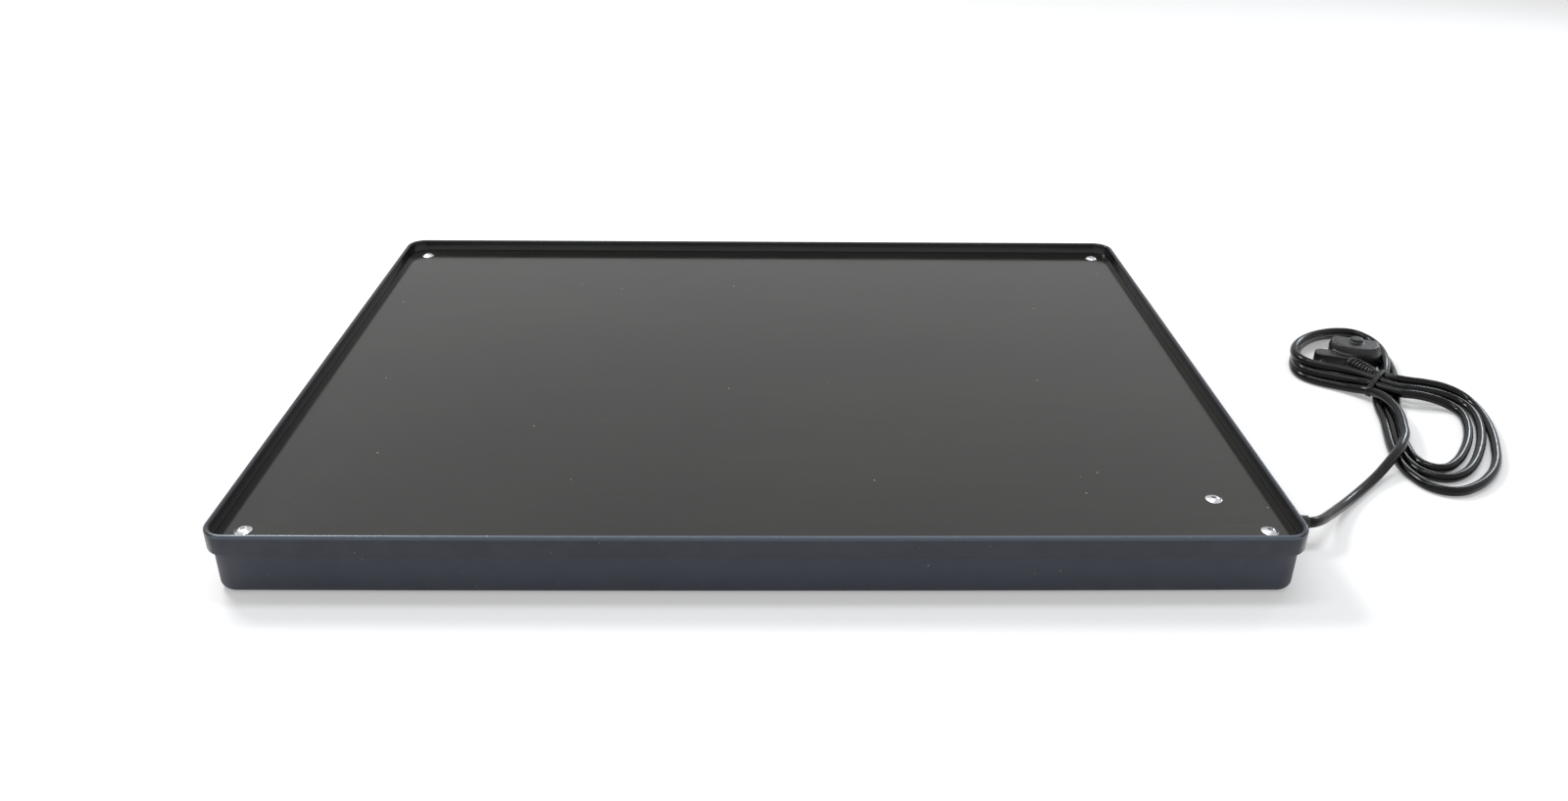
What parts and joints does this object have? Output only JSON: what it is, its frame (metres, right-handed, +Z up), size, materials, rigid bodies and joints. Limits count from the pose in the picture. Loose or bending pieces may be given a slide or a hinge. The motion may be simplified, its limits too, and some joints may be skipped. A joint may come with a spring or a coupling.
{
  "type": "seedling heat mat",
  "caption": "Rigid heated propagation tray: shallow moulded tray with a stepped rim, riveted metal heating plate and a tied mains cord with moulded plug.",
  "frame": {"origin": "middle of the tray's underside", "axes": "+X to the right along the width, +Y from the front edge to the rear edge, +Z up"},
  "size_m": [0.8154, 0.46, 0.039],
  "materials": {
    "tray_plastic": "matte, finely grained outside",
    "plate_metal": "semi-gloss dark olive-grey coating",
    "gasket_rubber": "matte",
    "rivet_metal": "polished",
    "mandrel_steel": "dull",
    "washer_steel": "plain",
    "ring_tin": "tinned",
    "heater_silicone": "satin",
    "foil": "bright",
    "board_foam": "matte closed-cell foam",
    "cup_metal": "satin",
    "cutout_moulding": "satin phenolic",
    "tab_brass": "plain",
    "block_nylon": "natural nylon",
    "sleeve_brass": "plain",
    "screw_steel": "zinc plated",
    "gland_rubber": "satin",
    "clamp_nylon": "satin",
    "cord_pvc": "glossy PVC sheath",
    "live_brown": "satin PVC",
    "neutral_blue": "satin PVC",
    "earth_green": "green and yellow PVC",
    "lead_white": "satin silicone",
    "tie_plastic": "glossy",
    "plug_pvc": "semi-gloss moulded PVC",
    "pin_nickel": "nickel plated"
  },
  "bodies": {
    "root": {"base_tray": "tray_plastic", "plate_gasket": "gasket_rubber", "heating_plate": "plate_metal", "corner_rivets": "rivet_metal", "earth_rivet": "rivet_metal", "rivet_mandrels": "mandrel_steel", "rivet_washers": "washer_steel", "earth_ring_terminal": "ring_tin", "heating_cable": "heater_silicone", "heater_foil": "foil", "insulation_board": "board_foam", "cutout_cup": "cup_metal", "cutout_body": "cutout_moulding", "cutout_tabs": "tab_brass", "terminal_block": "block_nylon", "terminal_sleeves": "sleeve_brass", "terminal_screws": "screw_steel", "cord_gland": "gland_rubber", "cord_clamp": "clamp_nylon", "clamp_screws": "screw_steel", "inner_lead": "cord_pvc", "core_live": "live_brown", "core_neutral": "neutral_blue", "core_earth": "earth_green", "cutout_lead": "live_brown", "heater_lead_live": "lead_white", "heater_lead_neutral": "lead_white", "power_cord": "cord_pvc", "cord_hank": "cord_pvc", "cord_tie": "tie_plastic", "plug_boot": "plug_pvc", "plug_body": "plug_pvc", "plug_pins": "pin_nickel", "plug_earth_strips": "pin_nickel"}
  },
  "joints": []
}
